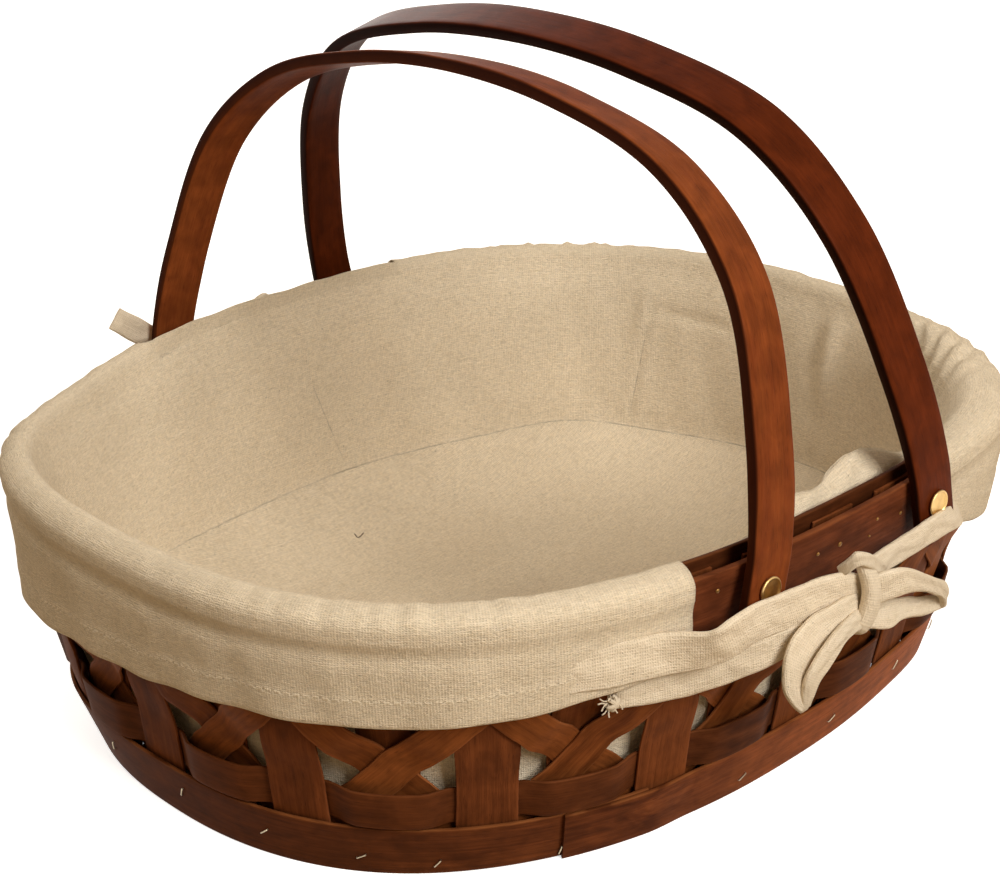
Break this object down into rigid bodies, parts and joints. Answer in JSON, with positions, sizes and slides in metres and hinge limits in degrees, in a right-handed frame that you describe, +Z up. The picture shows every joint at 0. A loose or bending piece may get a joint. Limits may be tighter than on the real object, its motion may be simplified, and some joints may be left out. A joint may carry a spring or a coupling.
{
  "type": "lined swing-handle basket",
  "caption": "Oval woven chipwood basket with two swing handles, a turned-down cloth liner and tied bows.",
  "frame": {"origin": "centre of the oval at the plane the basket stands on, under the middle of its bounding box", "axes": "+Z up, X along the long axis of the oval, Y along the line through each handle's two rivets"},
  "size_m": [0.426, 0.3966, 0.2797],
  "materials": {
    "stained_splint": "dark red-brown stain, satin",
    "stained_band": "red-brown stain, satin",
    "handle_front_wood": "light orange-brown, satin",
    "handle_rear_wood": "brown stain, scuffed",
    "brass": "dull brass",
    "liner_cloth": "natural cream cotton and linen weave"
  },
  "bodies": {
    "root": {"splint_crosswise_1": "stained_splint", "splint_crosswise_2": "stained_splint", "splint_crosswise_3": "stained_splint", "splint_crosswise_4": "stained_splint", "splint_crosswise_5": "stained_splint", "splint_crosswise_6": "stained_splint", "splint_crosswise_7": "stained_splint", "splint_crosswise_8": "stained_splint", "splint_crosswise_9": "stained_splint", "splint_lengthwise_1": "stained_splint", "splint_lengthwise_2": "stained_splint", "splint_lengthwise_3": "stained_splint", "splint_lengthwise_4": "stained_splint", "splint_lengthwise_5": "stained_splint", "splint_lengthwise_6": "stained_splint", "splint_lengthwise_7": "stained_splint", "arm_rising_01": "stained_splint", "arm_falling_01": "stained_splint", "arm_rising_02": "stained_splint", "arm_falling_02": "stained_splint", "arm_rising_03": "stained_splint", "arm_falling_03": "stained_splint", "arm_rising_04": "stained_splint", "arm_falling_04": "stained_splint", "arm_rising_05": "stained_splint", "arm_falling_05": "stained_splint", "arm_rising_06": "stained_splint", "arm_falling_06": "stained_splint", "arm_rising_07": "stained_splint", "arm_falling_07": "stained_splint", "arm_rising_08": "stained_splint", "arm_falling_08": "stained_splint", "arm_rising_09": "stained_splint", "arm_falling_09": "stained_splint", "arm_rising_10": "stained_splint", "arm_falling_10": "stained_splint", "arm_rising_11": "stained_splint", "arm_falling_11": "stained_splint", "arm_rising_12": "stained_splint", "arm_falling_12": "stained_splint", "arm_rising_13": "stained_splint", "arm_falling_13": "stained_splint", "arm_rising_14": "stained_splint", "arm_falling_14": "stained_splint", "arm_rising_15": "stained_splint", "arm_falling_15": "stained_splint", "arm_rising_16": "stained_splint", "arm_falling_16": "stained_splint", "base_band": "stained_band", "weaver": "stained_splint", "rim_band_outer": "stained_band", "rim_band_inner": "stained_band", "rivet_front_near": "brass", "rivet_front_far": "brass", "rivet_rear_near": "brass", "rivet_rear_far": "brass", "liner": "liner_cloth"},
    "front_handle": {"handle_front": "handle_front_wood"},
    "rear_handle": {"handle_rear": "handle_rear_wood"}
  },
  "joints": [
    {"name": "front_handle_swing", "type": "hinge", "parent": "root", "child": "front_handle", "pos_m": [-0.0514, 0, 0.1088], "axis": [0, 1, 0], "range_deg": [-88, 3.5]},
    {"name": "rear_handle_swing", "type": "hinge", "parent": "root", "child": "rear_handle", "pos_m": [0.0514, 0, 0.1088], "axis": [0, 1, 0], "range_deg": [0, 90]}
  ]
}
